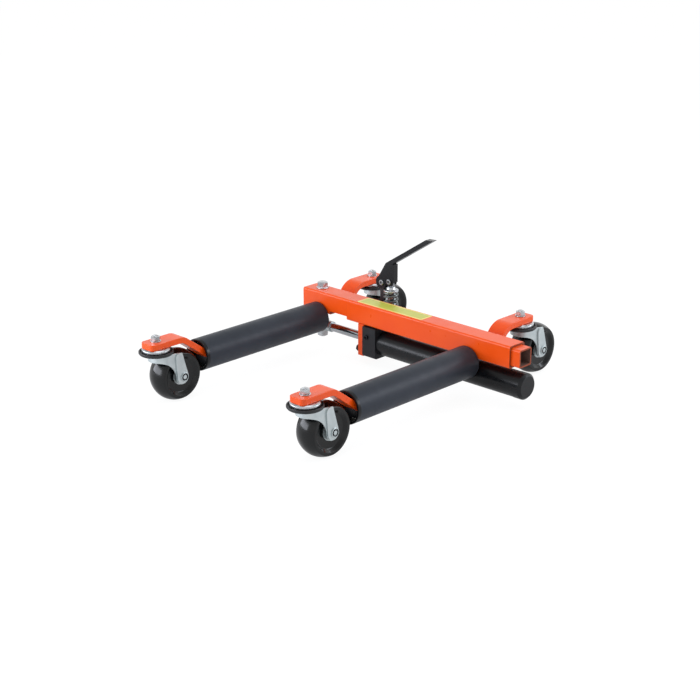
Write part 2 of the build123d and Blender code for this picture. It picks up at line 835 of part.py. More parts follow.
with BuildPart() as rod_gland:
    with BuildSketch(ram_plane(plate_right)):
        Circle(gland_radius)
        Circle(rod_radius + running_gap, mode=Mode.SUBTRACT)
    extrude(amount=gland_length)
save(rod_gland, "rod_gland")

# Pump barrel: closed below, with a seat for the spring above the riser
with BuildPart() as pump_barrel:
    with BuildSketch(level_plane(plunger_x, plunger_y, riser_top - barrel_depth)):
        Circle(barrel_radius)
    extrude(amount=barrel_depth)
    with BuildSketch(level_plane(plunger_x, plunger_y, riser_top)):
        Circle(cap_flange_radius)
    extrude(amount=barrel_seat_height)
    with BuildSketch(level_plane(plunger_x, plunger_y, spring_seat)):
        Circle(plunger_radius + running_gap)
    extrude(amount=-(barrel_depth + barrel_seat_height - barrel_floor), mode=Mode.SUBTRACT)
save(pump_barrel, "pump_barrel")

with BuildPart() as release_screw:
    with BuildSketch(Plane(origin=(release_x, -block_front, release_z), x_dir=(1, 0, 0), z_dir=(0, -1, 0))):
        Circle(release_radius)
    extrude(amount=-release_length)
    release_face = Plane(
        origin=(release_x, -block_front - swivel_gap, release_z), x_dir=(1, 0, 0), z_dir=(0, -1, 0)
    )
    with BuildSketch(release_face):
        Circle(release_radius)
    extrude(amount=-swivel_gap)
    with BuildSketch(release_face):
        hexagon(release_flats)
    extrude(amount=release_head)
save(release_screw, "release_screw")

# Plunger with a flat tongue for its pin, and the cap that rests on the spring
with BuildPart() as plunger:
    plunger_bottom = spring_seat - barrel_seat_height - plunger_dip
    with BuildSketch(level_plane(plunger_x, plunger_y, plunger_bottom)):
        Circle(plunger_radius)
    extrude(amount=cap_top - plunger_bottom)
    with BuildSketch(Plane.XZ.offset(-plunger_y)):
        with Locations((plunger_x, (cap_top + pin_z + tongue_top) / 2)):
            Rectangle(tongue_width, pin_z + tongue_top - cap_top)
        with Locations((plunger_x, pin_z)):
            Circle(pin_radius + bolt_gap, mode=Mode.SUBTRACT)
    extrude(amount=tongue_thickness / 2, both=True)
save(plunger, "plunger")

with BuildPart() as spring_cap:
    with BuildSketch(Plane.XZ.offset(-plunger_y)):
        with BuildLine():
            bore = plunger_x + plunger_radius + seat_gap
            Polyline(
                (bore, cap_seat),
                (plunger_x + cap_flange_radius, cap_seat),
                (plunger_x + cap_flange_radius, cap_seat + cap_flange_height),
                (plunger_x + cap_neck_radius, cap_top),
                (bore, cap_top),
                close=True,
            )
        make_face()
    revolve(axis=Axis((plunger_x, plunger_y, 0), (0, 0, 1)))
save(spring_cap, "spring_cap")


def make_pin(label, x, z, radius):
    """A headed pin across the pedal's two cheeks, with a second head riveted at the back."""
    reach = pedal_half + cheek_gap
    with BuildPart() as pin:
        with BuildSketch(Plane.XZ.offset(-plunger_y)):
            with Locations((x, z)):
                Circle(radius)
        extrude(amount=reach, both=True)
        for level in (reach - plunger_y, -reach - plunger_y - pin_head_height):
            with BuildSketch(Plane.XZ.offset(level)):
                with Locations((x, z)):
                    Circle(pin_head_radius)
            extrude(amount=pin_head_height)
    save(pin, label)


make_pin("pivot_pin", pivot_x, pivot_z, pivot_radius)
make_pin("plunger_pin", plunger_x, pin_z, pin_radius)

# Pedal: two cheeks joined above their slot, tapering up into the lever
pedal_top = pivot_z + pedal_height
pedal_right = plunger_x + pedal_nose
lever_rise = Vector(cos(radians(lever_angle)), sin(radians(lever_angle)))
lever_up = Vector(-lever_rise.Y, lever_rise.X)
with BuildPart() as pedal:
    with BuildSketch(Plane.XZ.offset(-plunger_y)):
        with Locations((pivot_x - pivot_lobe_shift, pivot_z)):
            Circle(pivot_lobe)
        with Locations((plunger_x, pin_z)):
            Circle(pin_lobe)
        with BuildLine():
            Polyline(
                (pivot_x - pivot_lobe_shift - pivot_lobe, pivot_z),
                (plunger_x - pin_lobe, pedal_top),
                (pedal_right, pedal_top),
                (pedal_right, pin_z),
                (plunger_x, pin_z),
                (pivot_x, pivot_z),
                close=True,
            )
        make_face()
        with BuildLine():
            heel = Vector(plunger_x - pin_lobe, pedal_top)
            toe = heel + lever_rise * lever_length
            cut = lever_depth / tan(radians(lever_angle - lever_end_angle))
            under_toe = toe - lever_up * lever_depth + lever_rise * cut
            under_heel = heel - lever_up * lever_depth + lever_rise * lever_depth
            Polyline(heel, toe, under_toe, under_heel, close=True)
        make_face()
    extrude(amount=pedal_half, both=True)
    # Slot for the lug and the plunger's tongue, closed on the right above the pin, and the two pins' holes
    with BuildSketch(Plane.XZ.offset(-plunger_y)):
        slot_bottom = pivot_z - pivot_lobe
        slot_top = pin_z + slot_height
        slot_right = plunger_x + slot_nose
        slot_left = pivot_x - 2 * pivot_lobe
        with BuildLine():
            Polyline(
                (slot_left, slot_bottom),
                (slot_left, slot_top),
                (slot_right, slot_top),
                (slot_right, pin_z + slot_step),
                (pedal_right + slot_nose, pin_z + slot_step),
                (pedal_right + slot_nose, slot_bottom),
                close=True,
            )
        make_face()
    extrude(amount=clevis_half, both=True, mode=Mode.SUBTRACT)
    with BuildSketch(Plane.XZ.offset(-plunger_y)):
        with Locations((pivot_x, pivot_z)):
            Circle(pivot_radius + running_gap)
        with Locations(Location((plunger_x, pin_z), degrees(atan2(pivot_drop, pivot_offset)))):
            SlotCenterToCenter(2 * pin_slot_play, 2 * (pin_radius + swivel_gap))
    extrude(amount=pedal_half, both=True, mode=Mode.SUBTRACT)
save(pedal, "pedal")


# Pump spring: one unbroken wire, wound as a helix between its seats
def biarc(start, start_dir, end, end_dir):
    """Two arcs, tangent to each other, from a point and direction to another point and direction."""
    chord = end - start
    both = start_dir + end_dir
    spread = 2 * (1 - start_dir.dot(end_dir))
    along = chord.dot(both)
    reach = (sqrt(along**2 + spread * chord.dot(chord)) - along) / spread
    near = start + start_dir * reach
    far = end - end_dir * reach
    middle = (near + far) * 0.5
    TangentArc(start, middle, tangent=start_dir)
    TangentArc(middle, end, tangent=(far - near).normalized())


def coil_point(turn):
    """A point of the helix, counted in turns from the foot of the spring's wire."""
    angle = 2 * pi * turn
    return Vector(
        plunger_x + spring_mean_radius * cos(angle),
        plunger_y + spring_mean_radius * sin(angle),
        coil_bottom + coil_pitch * turn,
    )


def coil_direction(turn):
    angle = 2 * pi * turn
    around = 2 * pi * spring_mean_radius
    return Vector(-around * sin(angle), around * cos(angle), coil_pitch).normalized()


end_height = 2 * wire_radius + spring_bend_radius
coil_bottom = spring_seat + end_height
coil_pitch = (spring_height - 2 * end_height) / spring_turns
quarters = ceil(4 * spring_turns)
stops = [spring_turns * step / quarters for step in range(quarters + 1)]
up = Vector(0, 0, 1)
with BuildPart() as pump_spring:
    with BuildLine() as wire_path:
        # Each end runs straight off its seat, then bends over into the coil's direction
        first_level = coil_direction(0).project_to_plane(Plane.XY).normalized()
        foot = coil_point(0) - first_level * spring_bend_radius - up * end_height
        knee = foot + up * 2 * wire_radius
        Line(foot, knee)
        TangentArc(knee, coil_point(0), tangent=up)
        biarc(coil_point(0), first_level, coil_point(stops[1]), coil_direction(stops[1]))
        for first, last in zip(stops[1:-2], stops[2:-1]):
            biarc(coil_point(first), coil_direction(first), coil_point(last), coil_direction(last))
        coil_end = coil_point(stops[-1])
        last_level = coil_direction(stops[-1]).project_to_plane(Plane.XY).normalized()
        biarc(coil_point(stops[-2]), coil_direction(stops[-2]), coil_end, last_level)
        crest = coil_end + last_level * spring_bend_radius + up * end_height
        neck = crest - up * 2 * wire_radius
        TangentArc(coil_end, neck, tangent=last_level)
        Line(neck, crest)
    with BuildSketch(Plane(origin=foot, z_dir=up)):
        Circle(wire_radius)
    sweep(path=wire_path.wire())
save(pump_spring, "pump_spring")

# The wire's least gap to itself, measured between points more than half a turn apart
sample_count = 400
wire = wire_path.wire()
samples = [wire @ (step / sample_count) for step in range(sample_count + 1)]
half_turn = pi * spring_mean_radius
span = wire.length / sample_count
least = min(
    (a - b).length - 2 * wire_radius
    for i, a in enumerate(samples)
    for j, b in enumerate(samples)
    if (j - i) * span > half_turn
)
print(f"pump_spring: least gap of the wire to itself {least:.2f} mm over {spring_turns} turns")
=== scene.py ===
# %% [markdown]
# # A hydraulic wheel dolly, dressed for the camera
#
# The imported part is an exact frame: every tube, roller, caster and pin is in its place and moves on its
# joint. It has no paint, no rounded edges and no small hardware shapes. This lesson adds them, and never
# moves what the frame holds.

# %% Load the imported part
import json
import math

import bmesh
import bpy
from mathutils import Matrix, Vector


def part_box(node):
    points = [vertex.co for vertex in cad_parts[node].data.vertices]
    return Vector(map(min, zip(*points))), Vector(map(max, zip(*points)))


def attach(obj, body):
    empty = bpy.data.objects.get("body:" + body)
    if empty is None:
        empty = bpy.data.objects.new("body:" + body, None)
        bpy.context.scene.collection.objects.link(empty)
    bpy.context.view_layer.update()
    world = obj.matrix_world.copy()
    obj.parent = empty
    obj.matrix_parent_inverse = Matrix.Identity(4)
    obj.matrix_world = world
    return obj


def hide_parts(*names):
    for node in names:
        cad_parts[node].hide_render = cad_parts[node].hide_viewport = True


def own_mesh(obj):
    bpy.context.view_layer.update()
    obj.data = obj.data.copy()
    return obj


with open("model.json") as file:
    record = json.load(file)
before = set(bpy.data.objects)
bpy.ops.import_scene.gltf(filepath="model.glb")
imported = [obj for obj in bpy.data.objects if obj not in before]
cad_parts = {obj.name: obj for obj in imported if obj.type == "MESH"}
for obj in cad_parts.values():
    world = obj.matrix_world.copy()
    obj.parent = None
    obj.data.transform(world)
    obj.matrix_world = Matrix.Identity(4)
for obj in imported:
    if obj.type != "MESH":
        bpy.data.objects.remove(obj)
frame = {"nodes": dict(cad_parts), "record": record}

scene = bpy.context.scene
nodes = frame["nodes"]
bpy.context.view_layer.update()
MM = 0.001

# %% [markdown]
# ## The camera
#
# A camera could be moved by eye until two pictures look alike. Here its place, aim and lens were solved
# from corners and bolts measured in the photograph, so the render and the photograph lie over each other.
# The long lens, from about three metres, keeps the beam's edges nearly parallel.

# %% Place the camera
PHOTO_PIXELS = 700
FOCAL_PIXELS = 1543.1
SENSOR_MM = 36.0
camera_place = Vector((2.0018, -2.2239, 1.0983))
camera_azimuth = math.radians(43.841)
camera_elevation = math.radians(19.441)

lens = bpy.data.cameras.new("photo_camera")
lens.sensor_width = SENSOR_MM
lens.lens = FOCAL_PIXELS / PHOTO_PIXELS * SENSOR_MM
camera = bpy.data.objects.new("photo_camera", lens)
scene.collection.objects.link(camera)
backwards = Vector((
    math.sin(camera_azimuth) * math.cos(camera_elevation),
    -math.cos(camera_azimuth) * math.cos(camera_elevation),
    math.sin(camera_elevation),
))
camera.location = camera_place
camera.rotation_euler = backwards.to_track_quat("Z", "Y").to_euler()
scene.camera = camera
print("lens", round(lens.lens, 2), "mm")

# %% [markdown]
# ## Small tools for materials
#
# Paint colours are written as on a screen, in sRGB, and the shader wants linear light, so one function
# converts them. Another adds a shader node, sets it and links it, which keeps each material short enough
# to read. A third starts a material and hands over its place in metres, so that each pattern can be given
# a real size.

# %% Material helpers
def linear(hex_colour):
    """The linear colour, with full alpha, of an sRGB hex colour."""
    channels = [int(hex_colour[i:i + 2], 16) / 255 for i in (1, 3, 5)]
    return [c / 12.92 if c <= 0.04045 else ((c + 0.055) / 1.055) ** 2.4 for c in channels] + [1.0]


def add(tree, kind, inputs, **properties):
    """One shader node. An input is a value, or the output socket of another node."""
    node = tree.nodes.new(kind)
    for name, value in properties.items():
        setattr(node, name, value)
    for socket, value in inputs.items():
        if isinstance(value, bpy.types.NodeSocket):
            tree.links.new(value, node.inputs[socket])
        else:
            node.inputs[socket].default_value = value
    return node


def start_material(name, **settings):
    """A material with a Principled shader set as given, and the place of a surface point, in metres."""
    material = bpy.data.materials.new(name)
    material.use_nodes = True
    tree = material.node_tree
    shader = tree.nodes["Principled BSDF"]
    for socket, value in settings.items():
        shader.inputs[socket.replace("_", " ")].default_value = value
    place = add(tree, "ShaderNodeTexCoord", {}).outputs["Object"]
    return material, tree, shader, place


# %% [markdown]
# No real surface has one even colour and polish. A noise pattern spread between two tones, and another
# between two degrees of polish, are enough to take the plastic look off a render. A third can raise a
# fine relief. Nearly all of a noise pattern's values lie between 0.3 and 0.7, so that range is spread.

# %% Tones, polish and relief
NOISE_LOW, NOISE_HIGH = 0.3, 0.7


def dress(tree, shader, place, tones, tone_mm, roughness, rough_mm, bump_mm=0.0, grain_mm=1.0):
    """Give a shader a colour that wanders between two tones, an uneven polish and a fine relief.

    tone_mm, rough_mm and grain_mm are the sizes of the patterns' features, bump_mm the relief's height.
    """
    patterns = {}
    for size in (tone_mm, rough_mm, grain_mm):
        noise = add(tree, "ShaderNodeTexNoise", {"Vector": place, "Scale": 1 / (size * MM)})
        patterns[size] = noise.outputs["Fac"]
    mix = add(tree, "ShaderNodeMix", {6: linear(tones[0]), 7: linear(tones[1])}, data_type="RGBA")
    ranges = ((patterns[tone_mm], 0.0, 1.0, mix.inputs[0]),
              (patterns[rough_mm], roughness[0], roughness[1], shader.inputs["Roughness"]))
    for pattern, low, high, target in ranges:
        spread = add(tree, "ShaderNodeMapRange", {
            "Value": pattern, "From Min": NOISE_LOW, "From Max": NOISE_HIGH, "To Min": low, "To Max": high,
        })
        tree.links.new(spread.outputs["Result"], target)
    tree.links.new(mix.outputs[2], shader.inputs["Base Color"])
    if bump_mm:
        relief = {"Height": patterns[grain_mm], "Strength": 1.0, "Distance": bump_mm * MM}
        bump = add(tree, "ShaderNodeBump", relief)
        tree.links.new(bump.outputs["Normal"], shader.inputs["Normal"])


finishes = {}

# %% [markdown]
# ## Paint
#
# The beam, its plate and the caster brackets are powder coated: a baked plastic film, bright and glossy,
# with the faint orange peel that a thick film sets with. The real peel is about 2 mm across, finer than a
# pixel here, so it is drawn coarser and very low. The white room reflected in it is what turns the top
# faces pink.

# %% Orange powder coat
material, tree, shader, place = start_material("Orange powder coat, baked gloss", IOR=1.45)
dress(tree, shader, place, ("#F55106", "#FA5809"), 70, (0.27, 0.35), 24, 0.012, 9)
finishes["orange_paint"] = material
print("paint", material.name)

# %% [markdown]
# The roller tubes have a slate powder coat with a satin surface, so the light lies on them as one broad
# soft band. The ram, the pedal and the pump's casting are black: the first two in a smooth enamel that
# gives thin bright streaks, the casting in the same enamel over a sand-cast skin, which breaks the
# streaks up.

# %% Slate and black paints
material, tree, shader, place = start_material("Slate powder coat, baked satin", IOR=1.3)
dress(tree, shader, place, ("#2E333B", "#343942"), 45, (0.42, 0.5), 16, 0.01, 7)
finishes["roller_paint"] = material

material, tree, shader, place = start_material("Black enamel, sprayed gloss", IOR=1.35)
dress(tree, shader, place, ("#0E0F12", "#131518"), 50, (0.26, 0.34), 20, 0.008, 12)
finishes["black_paint"] = material

material, tree, shader, place = start_material("Black enamel on sand-cast iron", IOR=1.35)
dress(tree, shader, place, ("#1E1F23", "#25272B"), 18, (0.4, 0.52), 9, 0.12, 2.5)
finishes["pump_casting"] = material
print("paints", len(finishes))

# %% [markdown]
# ## Metals
#
# The forks are zinc plated: a matte grey-white skin, a little cloudy where the bath left it. The nuts,
# races and caps are plated brighter, and the pins are bare steel. A metal's colour sits in its
# reflection, so metallic is 1 and the IOR stays as it is.

# %% Zinc and turned steel
material, tree, shader, place = start_material("Zinc plated pressing, dull bright", Metallic=1.0)
dress(tree, shader, place, ("#BAC3C5", "#C7CECF"), 12, (0.4, 0.5), 6, 0.004, 3)
finishes["zinc"] = material

# The hardware was plated over a smooth cut, so its facets flash
material, tree, shader, place = start_material("Zinc plated hardware, bright", Metallic=1.0)
dress(tree, shader, place, ("#B2B5B8", "#C2C5C7"), 6, (0.24, 0.34), 3)
finishes["bright_zinc"] = material

# Oiled steel is a darker grey than zinc, with the same soft shine
material, tree, shader, place = start_material("Steel, turned and oiled", Metallic=1.0)
dress(tree, shader, place, ("#8A8C8E", "#9A9C9D"), 8, (0.26, 0.36), 4, 0.003, 2)
finishes["bare_steel"] = material
print("with zinc and steel", len(finishes))

# %% [markdown]
# Three more steels differ by how they were finished. Black oxide is a thin dark skin that keeps a soft
# sheen. The ram's rod is ground hard chrome, nearly a mirror, so it shows its surroundings as long
# stripes. The spring's plated wire is darker, and each coil carries one bright line.

# %% Black oxide, chrome and spring wire
material, tree, shader, place = start_material("Steel, black oxide", Metallic=1.0)
dress(tree, shader, place, ("#2A2B2E", "#34353A"), 6, (0.36, 0.46), 4)
finishes["black_bolts"] = material

material, tree, shader, place = start_material("Hard chrome, ground", Metallic=1.0)
dress(tree, shader, place, ("#ACB1B5", "#B8BCC0"), 30, (0.12, 0.2), 12)
finishes["chrome_rod"] = material

material, tree, shader, place = start_material("Spring wire, zinc plated", Metallic=1.0)
dress(tree, shader, place, ("#5C6060", "#6E7271"), 7, (0.26, 0.36), 4)
finishes["spring_steel"] = material
print("with all metals", len(finishes))

# %% [markdown]
# ## Plastics and rubber
#
# The wheels are moulded in a hard black plastic, glossy from the mould, so the window shows in each one as
# a small patch. The dust rings are a duller black. The cream bushes and dull black seals sit inside and
# show only at their ends. The turned grooves and dimples of the hardware get a dark colour as painted
# shade, which draws them as dark lines.

# %% Plastics
material, tree, shader, place = start_material("Black nylon, moulded gloss", IOR=1.4)
dress(tree, shader, place, ("#08090A", "#0C0E0F"), 30, (0.14, 0.2), 14, 0.004, 10)
finishes["wheel_plastic"] = material

material, tree, shader, place = start_material("Black polypropylene, moulded matt", IOR=1.45)
dress(tree, shader, place, ("#1A1B1E", "#202225"), 14, (0.4, 0.5), 7, 0.01, 2)
finishes["ring_plastic"] = material

material, tree, shader, place = start_material("Natural nylon, machined", IOR=1.53)
dress(tree, shader, place, ("#D2CEBF", "#DBD7CA"), 12, (0.42, 0.5), 6)
finishes["nylon"] = material

material, tree, shader, place = start_material("Black nitrile rubber, moulded", IOR=1.5)
dress(tree, shader, place, ("#121212", "#171717"), 8, (0.55, 0.65), 5)
finishes["seal_rubber"] = material

# Painted shade: a dark colour for the insides of turned grooves and dimples, where shade falls
painted_groove_shade, tree, shader, place = start_material("Painted shade in a groove", IOR=1.45)
dress(tree, shader, place, ("#26282A", "#323436"), 4, (0.4, 0.5), 3)
print("finishes", len(finishes))

# %% [markdown]
# The record says which finish each node of the frame has, so one loop can dress them all.

# %% Give each node its finish
for row in frame["record"]["subparts"]:
    mesh = nodes[row["node"]].data
    mesh.materials.clear()
    mesh.materials.append(finishes[row["material_slot"]])

# %% [markdown]
# The bores of the square tubes get a dark brown, painted shade for the shade inside the tubes. The faces
# across the tubes' ends get a darker orange, painted shade on the ends. The faces inside each tube's wall
# and those across its ends get materials of their own.

# %% Painted shade in the bores and on the tube ends
bore_shade_paint, tree, shader, place = start_material("Dark brown, painted shade in a tube's bore", IOR=1.4)
dress(tree, shader, place, ("#6B5048", "#7A5C52"), 9, (0.6, 0.75), 5)
end_shade_paint, tree, shader, place = start_material("Orange powder coat, thin on a sawn end", IOR=1.45)
dress(tree, shader, place, ("#8E3814", "#9C421C"), 6, (0.5, 0.6), 4)
BORE_SLACK = 0.5


def paint_tube_shade(node, wall):
    """Paint shade into a square tube along X, in its bore and on its end faces, by its wall in millimetres.
    """
    tube = nodes[node]
    low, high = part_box(node)
    centre, half = (low + high) / 2, (high - low) / 2
    bore_half = half.y - (wall - BORE_SLACK) * MM
    for material in (bore_shade_paint, end_shade_paint):
        tube.data.materials.append(material)
    for face in tube.data.polygons:
        offset = tube.matrix_world @ face.center - centre
        normal = tube.matrix_world.to_3x3() @ face.normal
        # End faces take painted shade, and so do the bore's faces below
        if abs(normal.x) > 0.5:
            face.material_index = 2
        elif max(abs(offset.y), abs(offset.z)) < bore_half:
            face.material_index = 1


for node, wall in (("outer_beam", 4.0), ("inner_beam", 3.0), ("slide_head", 4.5)):
    paint_tube_shade(node, wall)
print("tubes", sum(len(part.data.materials) > 1 for part in nodes.values()))

# %% [markdown]
# ## Soft edges
#
# No real edge is perfectly sharp, and the thin light line along it is what makes metal look solid. The
# CAD meshes may not be changed, so a stack of modifiers rounds them: weld the seams, join the flat
# triangles, bevel what is sharp, and weigh the shading towards the large faces.

# %% A stack of modifiers that rounds edges
SEAM_MM, FLAT_DEG, EDGE_DEG = 0.002, 0.2, 35
smooth_faces = bpy.data.node_groups.new("smooth_faces", "GeometryNodeTree")
for direction in ("INPUT", "OUTPUT"):
    smooth_faces.interface.new_socket("Geometry", in_out=direction, socket_type="NodeSocketGeometry")
arriving = smooth_faces.nodes.new("NodeGroupInput")
leaving = smooth_faces.nodes.new("NodeGroupOutput")
shading = add(smooth_faces, "GeometryNodeSetShadeSmooth", {"Geometry": arriving.outputs[0]})
smooth_faces.links.new(shading.outputs[0], leaving.inputs[0])


def soften(node, width_mm, steps=2):
    """Round a CAD piece's sharp edges with modifiers, without touching its mesh."""
    stack = nodes[node].modifiers
    stack.new("weld_seams", "WELD").merge_threshold = SEAM_MM * MM
    flatten = stack.new("join_flats", "DECIMATE")
    flatten.decimate_type = "DISSOLVE"
    flatten.angle_limit = math.radians(FLAT_DEG)
    bevel = stack.new("round_edges", "BEVEL")
    bevel.width = width_mm * MM
    bevel.segments = steps
    bevel.limit_method = "ANGLE"
    bevel.angle_limit = math.radians(EDGE_DEG)
    stack.new("smooth_faces", "NODES").node_group = smooth_faces
    stack.new("weigh_normals", "WEIGHTED_NORMAL").keep_sharp = True


# %% Round the pressed, cut and cast pieces
# Each side's arm, and the body that carries it
SIDES = {"left": "sliding_arm", "right": "frame"}
ROWS = ("front", "rear")
CORNERS = [(row, side) for row in ROWS for side in SIDES]
for row, side in CORNERS:
    soften(f"{side}_{row}_bracket", 1.2, 3)
    soften(f"{row}_{side}_fork", 0.7)
soften("pump_plate", 0.8)
soften("pump_block", 1.5, 3)
soften("pedal", 0.7)
soften("cylinder_cap", 0.6)
print("softened", sum(1 for part in nodes.values() if part.modifiers))

# %% [markdown]
# ## Mesh tools
#
# Most of the hardware is turned on a lathe, so most of it is made the same way here: an outline of radius
# and height, with its corners rounded, carried round an axis. That gives rings of points with a skin
# between them. A screw modifier could do it too, but the skin also serves for nuts, wires and welds.

# %% Place and skin
def lay(place, axis):
    """The matrix that sets a piece made along its own Z at a place, along an axis of the dolly."""
    return Matrix.Translation(Vector(place)) @ Vector(axis).to_track_quat("Z", "Y").to_matrix().to_4x4()


def skin(shape, rings, loop=False):
    """Skin rings of points with faces. A ring of one point is a tip, and loop joins the last to the first."""
    made = [[shape.verts.new(point) for point in ring] for ring in rings]
    for low, high in zip(made, made[1:] + made[:1] if loop else made[1:]):
        steps = max(len(low), len(high))
        for i in range(steps):
            j = i + 1
            around = (low[i % len(low)], low[j % len(low)], high[j % len(high)], high[i % len(high)])
            shape.faces.new(list(dict.fromkeys(around)))


# %% Lathe
def rounded(corners, steps=5):
    """Points along an outline of (radius, height) corners in millimetres. A third number rounds a corner."""
    points = []
    for i, (radius, height, *rounding) in enumerate(corners):
        here = Vector((radius, height))
        if not rounding:
            points.append(here)
            continue
        before = (Vector(corners[i - 1][:2]) - here).normalized()
        after = (Vector(corners[(i + 1) % len(corners)][:2]) - here).normalized()
        reach = rounding[0] / math.tan(before.angle(after) / 2)
        for k in range(steps + 1):
            share = k / steps
            points.append(here + before * reach * (1 - share) ** 2 + after * reach * share ** 2)
    return points


def turned(shape, corners, place, axis, loop=False, steps=72):
    """Turn an outline round an axis. It starts and ends on the axis, or loops as the section of a ring."""
    stand = lay(place, axis)
    rings = []
    for radius, height in rounded(corners):
        count = steps if radius > 0 else 1
        angles = [2 * math.pi * i / count for i in range(count)]
        ring = [Vector((radius * math.cos(a), radius * math.sin(a), height)) for a in angles]
        rings.append([stand @ (point * MM) for point in ring])
    skin(shape, rings, loop)


# %% [markdown]
# Each finished mesh becomes an object that rides on one of the frame's bodies, so that it moves with the
# joints. It takes the place of the plain CAD nodes whose boxes gave its sizes.

# %% Finish a piece
X, Y, Z = Vector((1, 0, 0)), Vector((0, 1, 0)), Vector((0, 0, 1))


def finish_piece(name, shape, body, slot, *replaced, sharp_deg=34.0, own=()):
    """Make the mesh an object that rides on a body, wears a slot's finish or its own, and replaces nodes."""
    bmesh.ops.recalc_face_normals(shape, faces=shape.faces)
    mesh = bpy.data.meshes.new(name)
    shape.to_mesh(mesh)
    shape.free()
    mesh.shade_smooth()
    mesh.set_sharp_from_angle(angle=math.radians(sharp_deg))
    for material in own or [finishes[slot]]:
        mesh.materials.append(material)
    piece = bpy.data.objects.new(name, mesh)
    scene.collection.objects.link(piece)
    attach(piece, body)
    if replaced:
        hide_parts(*replaced)
    return piece


def corners_of(node):
    """The low and the high corner of a CAD node's box, in millimetres."""
    low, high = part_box(node)
    return low / MM, high / MM


def middle(node):
    """The middle of a CAD node's box, and its size, in millimetres."""
    low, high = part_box(node)
    return (low + high) / 2 / MM, (high - low) / MM


# %% [markdown]
# ## Wheels
#
# Each wheel is one moulding: a crowned tread that falls away smoothly to the rim on both sides, and deeply
# dished sides. A bevelled cylinder would show a flat tread with an edge, so the crown is drawn as a curve
# in a lathe outline.

# %% Turn the wheels
BUSH_RADIUS, SEAT_GAP = 9.05, 0.05
CROWN_DROP, RIM_DEPTH, DISH = 6.8, 6.0, 6.0
CROWN_SHARES = (0.85, 0.7, 0.55, 0.4, 0.25, 0.1, 0.02)


def mirrored(half):
    """An outline from the axis outwards, and its mirror image back again."""
    return half + [(r, -h, *rounding) for r, h, *rounding in reversed(half)]


for row, side in CORNERS:
    corner = f"{row}_{side}"
    centre, size = middle(f"{corner}_wheel")
    radius = size.z / 2
    rim_half = size.x / 2
    web = rim_half - DISH
    rim_radius = radius - CROWN_DROP
    half = [
        (BUSH_RADIUS + SEAT_GAP, web),
        (rim_radius - RIM_DEPTH - DISH, web, 3.0),
        (rim_radius - RIM_DEPTH, rim_half, 0.8),
        (rim_radius, rim_half, 2.2),
    ]
    for share in CROWN_SHARES:
        half.append((radius - CROWN_DROP * share ** 2, rim_half * share))
    shape = bmesh.new()
    turned(shape, mirrored(half), centre * MM, X, loop=True, steps=128)
    finish_piece(f"{corner}_moulded_wheel", shape, f"{corner}_roll", "wheel_plastic", f"{corner}_wheel",
                 sharp_deg=50)
print("wheel radius", round(radius, 1), "mm")

# %% [markdown]
# A zinc bush runs through each wheel. Its flange lies in the dish and shows below the fork's leg as a
# bright crescent, with a narrow raised lip round its edge that catches the light.

# %% Turn the wheels' bushes
BUSH_BORE, FLANGE_THICKNESS = 6.05, 1.2
LIP_HEIGHT, LIP_WIDTH, LIP_FOOT = 0.5, 1.8, 2.6
for row, side in CORNERS:
    corner = f"{row}_{side}"
    centre, size = middle(f"{corner}_wheel_bush")
    flange = size.z / 2
    seat = middle(f"{corner}_wheel")[1].x / 2 - DISH + SEAT_GAP
    face = seat + FLANGE_THICKNESS
    half = [
        (BUSH_BORE, size.x / 2), (BUSH_RADIUS, size.x / 2, 0.4), (BUSH_RADIUS, face - LIP_HEIGHT, 0.3),
        (flange - LIP_FOOT, face - LIP_HEIGHT), (flange - LIP_WIDTH, face, 0.2), (flange, face, 0.4),
        (flange, seat, 0.3), (BUSH_RADIUS, seat),
    ]
    shape = bmesh.new()
    turned(shape, mirrored(half), centre * MM, X, loop=True)
    finish_piece(f"{corner}_flanged_bush", shape, f"{corner}_roll", "zinc", f"{corner}_wheel_bush")
print("bush flange", round(flange, 1), "mm")

# %% [markdown]
# ## Rollers
#
# The rollers are slate tubes. The front 7 mm of each one and its front end face take black paint, and so
# does the whole bore, where the black is painted shade. A mask in the material could draw the band, but a
# turned tube gives it an edge of its own.

# %% Turn the rollers
ROLLER_WALL, END_BAND = 4.0, 7.0
for side in SIDES:
    low, high = corners_of(f"{side}_roller")
    radius, length = (high.x - low.x) / 2, high.y - low.y
    bore = radius - ROLLER_WALL
    front = Vector(((low.x + high.x) / 2, low.y, (low.z + high.z) / 2))
    shape = bmesh.new()
    turned(shape, [
        (bore, 0, 0.4), (radius, 0, 1.5), (radius, END_BAND), (radius, length, 1.5), (bore, length, 0.4),
    ], front * MM, Y, loop=True, steps=128)
    # Black on the front band and the end face, and in the bore as painted shade
    for face in shape.faces:
        spot = face.calc_center_median() / MM - front
        if spot.y < END_BAND or math.hypot(spot.x, spot.z) < bore + BORE_SLACK:
            face.material_index = 1
    finish_piece(f"{side}_painted_roller", shape, f"{side}_roller_turn", "roller_paint", f"{side}_roller",
                 own=[finishes["roller_paint"], finishes["black_paint"]])
print("roller", round(length, 1), "mm long")

# %% [markdown]
# ## Nuts and bolt heads
#
# A nut is cut from six-sided bar, and its corners are then turned off at 30 degrees, which leaves a curved
# line on each flat. A six-sided cylinder has no such line. Rings whose radius follows the six sides give
# it: where a corner stands out further, the ring drops lower.

# %% Hexagon
HEX_STEPS, CHAMFER_SHARE, CHAMFER_DEG = 72, 0.47, 30


